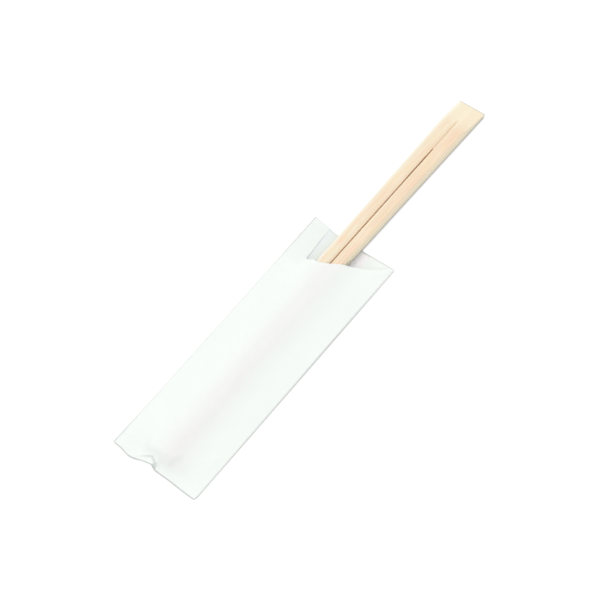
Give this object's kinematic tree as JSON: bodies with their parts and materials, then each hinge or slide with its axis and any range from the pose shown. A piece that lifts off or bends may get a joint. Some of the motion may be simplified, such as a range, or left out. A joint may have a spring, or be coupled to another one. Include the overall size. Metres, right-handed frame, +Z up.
{
  "type": "disposable wooden chopsticks",
  "caption": "Unsplit pair of disposable wooden chopsticks with a slant-cut head, half pushed into a flat white paper sleeve with an oblique mouth.",
  "frame": {"origin": "bottom centre of the whole part, on the surface that it lies on", "axes": "+Y along the sticks towards the joined head, +Z up, +X to the right seen from above with the head at the top"},
  "size_m": [0.039, 0.2116, 0.0051],
  "materials": {
    "wood": "bare planed pale wood with a fine straight grain",
    "paper": "thin matt white paper, slightly see-through over the sticks"
  },
  "bodies": {
    "root": {"chopsticks": "wood", "paper_sleeve": "paper"}
  },
  "joints": []
}
